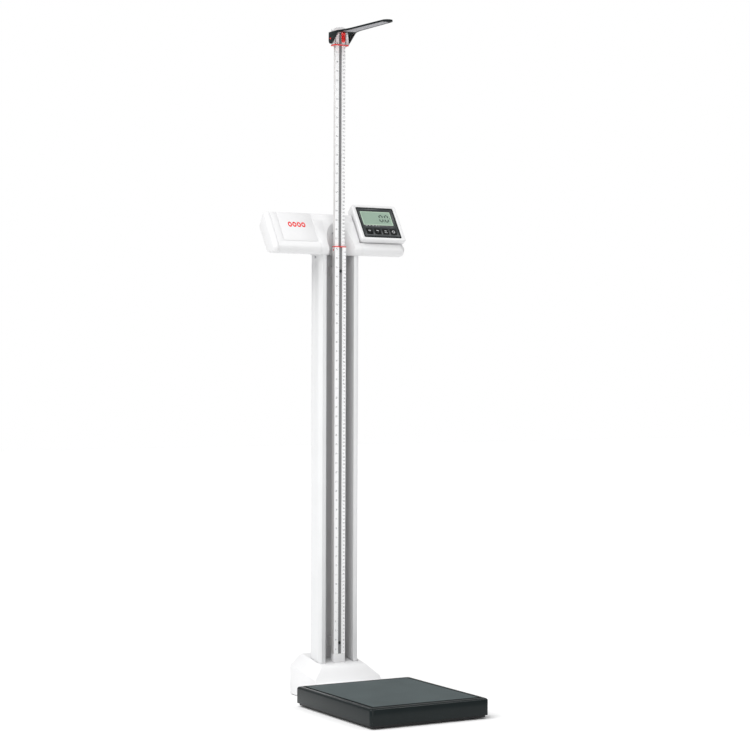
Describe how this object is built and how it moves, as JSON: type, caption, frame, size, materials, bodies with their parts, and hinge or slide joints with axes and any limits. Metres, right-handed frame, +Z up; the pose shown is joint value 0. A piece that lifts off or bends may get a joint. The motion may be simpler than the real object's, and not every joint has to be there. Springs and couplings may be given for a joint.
{
  "type": "column weighing scale",
  "caption": "Column weighing scale: low platform, column with an eye-level digital display on a crossbar, and a telescopic height rod with a folding headpiece.",
  "frame": {"origin": "on the floor under the middle of the overall box", "axes": "+Z up, the user steps on from -Y, the column stands towards +Y, +X to the right seen from the front"},
  "size_m": [0.414, 0.583, 1.8285],
  "materials": {
    "white_plastic": "fine moulded satin",
    "white_coated": "powder coat, satin",
    "grey_liner": "grey satin",
    "rod_metal": "anodised",
    "ruler_white": "printed film",
    "black_plastic": "satin",
    "black_gloss": "semi gloss",
    "mat_rubber": "fine diamond texture",
    "black_steel": "powder coat",
    "bare_steel": "zinc plated",
    "red_plastic": "glossy",
    "grey_rib": "ribbed",
    "foot_rubber": "plain",
    "wheel_grey": "satin",
    "window_dark": "printed film",
    "lcd": "reflective LCD",
    "board_green": "circuit board",
    "cell_wrap": "printed sleeve",
    "cable_black": "plain"
  },
  "bodies": {
    "base": {"base_frame": "black_steel", "load_cells": "rod_metal", "load_cell_bolts": "bare_steel", "load_buttons": "foot_rubber", "platform_plate": "bare_steel", "rear_pads": "foot_rubber", "column_foot": "bare_steel", "column_bolts": "bare_steel", "base_cover": "white_plastic", "wheel_axle": "bare_steel", "column_profile": "white_coated", "recess_liner": "grey_liner", "signal_cable": "cable_black", "rod_outer": "rod_metal", "inch_scale_outer": "ruler_white", "cm_scale_outer": "ruler_white", "rod_foot_cap": "white_plastic", "rod_standoffs": "rod_metal", "rod_screws": "black_plastic", "rod_index_collar": "red_plastic", "crossbar_bridge": "white_plastic", "crossbar_bar": "bare_steel", "side_screws": "bare_steel", "battery_housing": "white_plastic", "battery_end_cap": "white_plastic", "battery_holder": "black_plastic", "batteries": "cell_wrap", "display_housing": "white_plastic", "display_back": "white_plastic", "display_shell": "white_plastic", "display_window": "window_dark", "lcd_panel": "lcd", "display_board": "board_green", "display_screws": "bare_steel"},
    "platform_top": {"platform_cover": "black_gloss", "tread_mat": "mat_rubber"},
    "foot_front_left": {"foot_front_left": "foot_rubber"},
    "foot_front_right": {"foot_front_right": "foot_rubber"},
    "foot_rear_left": {"foot_rear_left": "foot_rubber"},
    "foot_rear_right": {"foot_rear_right": "foot_rubber"},
    "wheel_left": {"wheel_left": "wheel_grey"},
    "wheel_right": {"wheel_right": "wheel_grey"},
    "latch_button": {"latch_button": "red_plastic"},
    "inner_rod": {"rod_inner": "rod_metal", "inch_scale_inner": "ruler_white", "cm_scale_inner": "ruler_white", "rod_glide_shoe": "black_plastic", "rod_top_cap": "white_plastic"},
    "head": {"head_slider": "white_plastic", "head_index_line": "red_plastic", "pivot_pins": "red_plastic"},
    "brake_button": {"release_button": "red_plastic"},
    "tongue": {"tongue": "black_gloss", "tongue_ribs": "grey_rib"},
    "battery_door": {"battery_door": "white_plastic"},
    "key_send": {"key_send": "black_plastic"},
    "key_tare": {"key_tare": "black_plastic"},
    "key_hold": {"key_hold": "black_plastic"},
    "key_power": {"key_power": "black_plastic"}
  },
  "joints": [
    {"name": "cover_lift", "type": "slide", "parent": "base", "child": "platform_top", "axis": [0, 0, 1], "range_m": [0, 0.05]},
    {"name": "foot_screw_front_left", "type": "slide", "parent": "base", "child": "foot_front_left", "axis": [0, 0, -1], "range_m": [0, 0.005]},
    {"name": "foot_screw_front_right", "type": "slide", "parent": "base", "child": "foot_front_right", "axis": [0, 0, -1], "range_m": [0, 0.005]},
    {"name": "foot_screw_rear_left", "type": "slide", "parent": "base", "child": "foot_rear_left", "axis": [0, 0, -1], "range_m": [0, 0.005]},
    {"name": "foot_screw_rear_right", "type": "slide", "parent": "base", "child": "foot_rear_right", "axis": [0, 0, -1], "range_m": [0, 0.005]},
    {"name": "wheel_spin_left", "type": "hinge", "parent": "base", "child": "wheel_left", "pos_m": [-0.079, 0.268, 0.0238], "axis": [1, 0, 0], "continuous": true},
    {"name": "wheel_spin_right", "type": "hinge", "parent": "base", "child": "wheel_right", "pos_m": [0.079, 0.268, 0.0238], "axis": [1, 0, 0], "continuous": true},
    {"name": "latch_press", "type": "slide", "parent": "base", "child": "latch_button", "axis": [1, 0, 0], "range_m": [0, 0.0005], "stiffness_N_per_m": 900, "springref_m": -0.0005},
    {"name": "rod_extension", "type": "slide", "parent": "base", "child": "inner_rod", "axis": [0, 0, 1], "range_m": [-0.545, 0.279]},
    {"name": "head_slide", "type": "slide", "parent": "inner_rod", "child": "head", "axis": [0, 0, 1], "range_m": [-0.575, 0]},
    {"name": "brake_press", "type": "slide", "parent": "head", "child": "brake_button", "axis": [0, 1, 0], "range_m": [0, 0.0015], "stiffness_N_per_m": 600, "springref_m": -0.0015},
    {"name": "tongue_fold", "type": "hinge", "parent": "head", "child": "tongue", "pos_m": [0, 0.2015, 1.796], "axis": [1, 0, 0], "range_deg": [0, 90]},
    {"name": "door_release", "type": "slide", "parent": "base", "child": "battery_door", "axis": [0, -0.8541, 0.5201], "range_m": [0, 0.04]},
    {"name": "key_press_send", "type": "slide", "parent": "base", "child": "key_send", "axis": [0, 0.8387, -0.5446], "range_m": [0, 0.0008], "stiffness_N_per_m": 800, "springref_m": -0.0008},
    {"name": "key_press_tare", "type": "slide", "parent": "base", "child": "key_tare", "axis": [0, 0.8387, -0.5446], "range_m": [0, 0.0008], "stiffness_N_per_m": 800, "springref_m": -0.0008},
    {"name": "key_press_hold", "type": "slide", "parent": "base", "child": "key_hold", "axis": [0, 0.8387, -0.5446], "range_m": [0, 0.0008], "stiffness_N_per_m": 800, "springref_m": -0.0008},
    {"name": "key_press_power", "type": "slide", "parent": "base", "child": "key_power", "axis": [0, 0.8387, -0.5446], "range_m": [0, 0.0008], "stiffness_N_per_m": 800, "springref_m": -0.0008}
  ]
}
